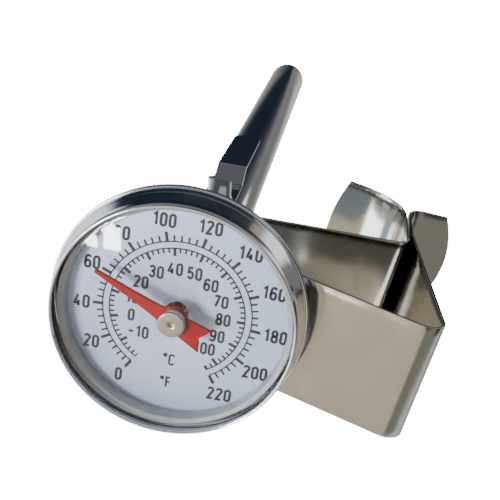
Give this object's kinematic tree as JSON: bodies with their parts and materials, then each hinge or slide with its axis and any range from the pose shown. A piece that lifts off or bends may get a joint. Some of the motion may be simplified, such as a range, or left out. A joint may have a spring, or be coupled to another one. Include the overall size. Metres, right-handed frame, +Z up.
{
  "type": "dial thermometer",
  "caption": "Pocket dial thermometer with a slim stem in a chromed sheath, a pocket clip, and a bent spring clip that grips the rim of a jug or pan.",
  "frame": {"origin": "the middle of the pinch between the jug clip's two leaves, where it grips a vessel's rim", "axes": "+Z up along the stem, towards the dial, whose face looks up; +X from the stem's axis to the jug clip's grip; +Y across the clip's strip"},
  "size_m": [0.0518, 0.0312, 0.1511],
  "materials": {
    "chrome": "polished chrome plate",
    "clip_steel": "bright rolled stainless spring strip",
    "steel": "drawn stainless steel",
    "brass": "turned",
    "bimetal": "rolled strip",
    "nickel": "satin nickel plate",
    "dial": "satin silver printed face",
    "red_paint": "matt red enamel",
    "lens": "clear, shallow domed",
    "seal": "matt black",
    "nylon": "moulded"
  },
  "bodies": {
    "jug_clip": {"jug_clip_band": "clip_steel"},
    "jug_leaf": {"jug_clip_outer_leaf": "clip_steel"},
    "stem": {"stem_tube": "steel", "stem_tip_plug": "steel", "neck_bush": "brass", "friction_washer": "steel", "calibration_nut": "chrome", "upper_spindle_guide": "brass", "lower_spindle_guide": "brass", "coil_anchor": "brass", "bimetal_helix": "bimetal"},
    "head": {"case_back": "chrome", "bezel_ring": "chrome", "lens": "lens", "lens_gasket": "seal", "dial_spacer_ring": "nickel", "dial_plate": "dial"},
    "indicator": {"pointer": "red_paint", "pointer_hub": "nickel", "spindle": "steel"},
    "sheath": {"sheath_tube": "chrome", "sheath_end_cap": "chrome", "sheath_grip_bush": "nylon", "pocket_clip_base": "chrome", "pocket_clip_rivet": "steel"},
    "pocket_arm": {"pocket_clip_arm": "chrome"}
  },
  "joints": [
    {"name": "jug_open", "type": "hinge", "parent": "jug_clip", "child": "jug_leaf", "pos_m": [-0.0007, 0, 0.03356], "axis": [0, -1, 0], "range_deg": [0, 7], "stiffness_Nm_per_rad": 0.8},
    {"name": "stem_slide", "type": "slide", "parent": "jug_clip", "child": "stem", "axis": [0, 0, 1], "range_m": [0, 0.1]},
    {"name": "calibration_turn", "type": "hinge", "parent": "stem", "child": "head", "pos_m": [-0.0273, 0, 0.034], "axis": [0, 0, 1], "range_deg": [-20, 20]},
    {"name": "pointer_turn", "type": "hinge", "parent": "stem", "child": "indicator", "pos_m": [-0.0273, 0, 0.034], "axis": [0, 0, 1], "range_deg": [-211.9, 82.7], "stiffness_Nm_per_rad": 0.00005},
    {"name": "sheath_slide", "type": "slide", "parent": "jug_clip", "child": "sheath", "axis": [0, 0, -1], "range_m": [0, 0.13]},
    {"name": "pocket_arm_open", "type": "hinge", "parent": "sheath", "child": "pocket_arm", "pos_m": [-0.02794, 0.00481, -0.0012], "axis": [0.9912, 0.1323, 0], "range_deg": [0, 5], "stiffness_Nm_per_rad": 1.3}
  ]
}
